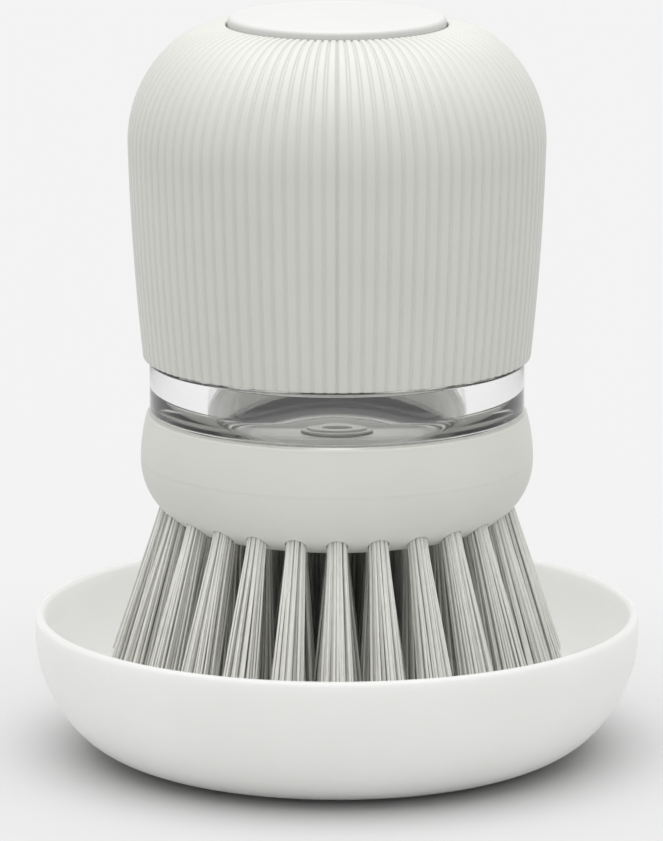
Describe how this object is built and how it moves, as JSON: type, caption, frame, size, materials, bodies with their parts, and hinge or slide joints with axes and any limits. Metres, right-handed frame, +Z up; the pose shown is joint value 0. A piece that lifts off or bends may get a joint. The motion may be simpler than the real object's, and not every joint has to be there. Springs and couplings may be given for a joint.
{
  "type": "soap-dispensing palm dish brush",
  "caption": "Palm dish brush with a ribbed screw cap, soap button, clear soap band and splayed bristle tufts, standing in a round drip tray.",
  "frame": {"origin": "centre of the tray's foot ring, on the worktop", "axes": "+Z up along the brush axis, -Y towards the viewer of the picture, +X to the right"},
  "size_m": [0.1002, 0.1002, 0.1228],
  "materials": {
    "tray_plastic": "satin white moulded plastic",
    "body_plastic": "satin warm light grey moulded plastic",
    "button_plastic": "satin off-white moulded plastic",
    "inner_plastic": "plain moulded plastic",
    "clear_plastic": "clear polished plastic",
    "bristle": "light grey nylon filament",
    "anchor_wire": "drawn flat wire",
    "seal_rubber": "matte black rubber",
    "valve_silicone": "matte grey silicone",
    "spring_steel": "drawn stainless wire"
  },
  "bodies": {
    "tray": {"drip_tray": "tray_plastic"},
    "brush": {"brush_block": "body_plastic", "head_collar": "body_plastic", "outer_tufts": "bristle", "middle_tufts": "bristle", "inner_tufts": "bristle", "centre_tufts": "bristle", "outer_anchors": "anchor_wire", "middle_anchors": "anchor_wire", "inner_anchors": "anchor_wire", "centre_anchors": "anchor_wire", "reservoir": "clear_plastic", "spout_seal": "seal_rubber", "slit_valve": "valve_silicone", "valve_collar": "inner_plastic"},
    "neck_seal": {"neck_gasket": "seal_rubber"},
    "cap": {"cap_core": "inner_plastic", "grip_cover": "body_plastic", "pump_lid": "inner_plastic", "vent_valve": "valve_silicone", "return_spring": "spring_steel"},
    "button": {"push_button": "button_plastic", "piston_seal": "seal_rubber"}
  },
  "joints": [
    {"name": "brush_lift", "type": "slide", "parent": "tray", "child": "brush", "axis": [0, 0, 1], "range_m": [0, 0.12]},
    {"name": "cap_rise", "type": "slide", "parent": "brush", "child": "neck_seal", "axis": [0, 0, 1], "range_m": [0, 0.0121]},
    {"name": "cap_turn", "type": "hinge", "parent": "neck_seal", "child": "cap", "pos_m": [0, 0, 0.073], "axis": [0, 0, 1], "range_deg": [0, 720]},
    {"name": "button_press", "type": "slide", "parent": "cap", "child": "button", "axis": [0, 0, -1], "range_m": [0, 0.005], "stiffness_N_per_m": 900, "springref_m": -0.004, "deforming": ["return_spring"]}
  ],
  "couplings": [
    {"joint": "cap_rise", "follows": "cap_turn", "m_per_rad": 0.00095493}
  ]
}
